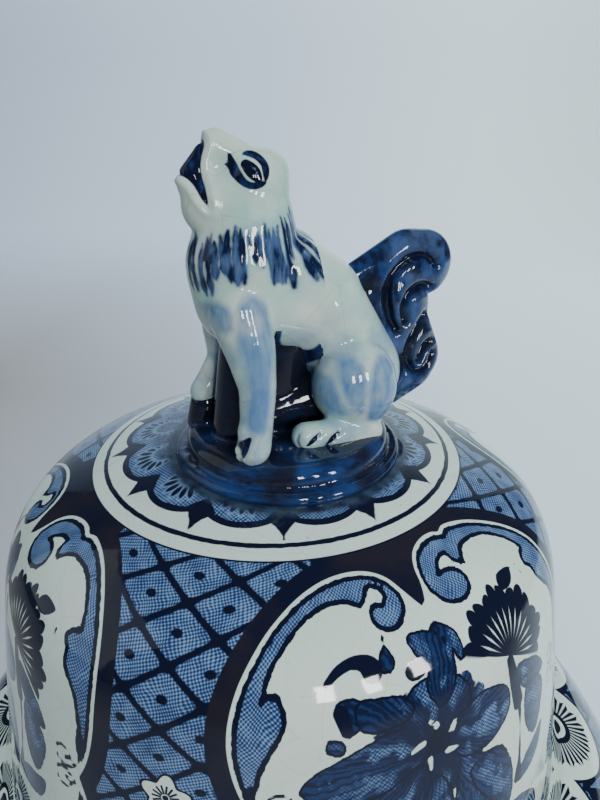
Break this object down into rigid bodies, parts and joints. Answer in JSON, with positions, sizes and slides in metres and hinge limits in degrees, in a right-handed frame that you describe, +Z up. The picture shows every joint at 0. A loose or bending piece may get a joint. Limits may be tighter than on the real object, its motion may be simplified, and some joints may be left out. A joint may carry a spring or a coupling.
{
  "type": "ginger jar",
  "caption": "Covered baluster ginger jar in blue-and-white glazed earthenware, with a lift-off bell-shaped lid and a seated guardian lion as its handle.",
  "frame": {"origin": "centre of the foot ring's resting face, on the jar's axis", "axes": "+Z up along the jar's axis; -Y is the front, which shows the lion's left side with its head to -X"},
  "size_m": [0.232, 0.232, 0.4398],
  "materials": {
    "jar_glaze": "glossy",
    "lid_glaze": "glossy",
    "cobalt_glaze": "glossy",
    "lion_glaze": "glossy"
  },
  "bodies": {
    "jar": {"jar_body": "jar_glaze"},
    "lid": {"lid_shell": "lid_glaze", "lion_plinth": "cobalt_glaze", "lion_figure": "lion_glaze", "lion_tail": "cobalt_glaze"}
  },
  "joints": [
    {"name": "lid_lift", "type": "slide", "parent": "jar", "child": "lid", "axis": [0, 0, 1], "range_m": [0, 0.1]}
  ]
}
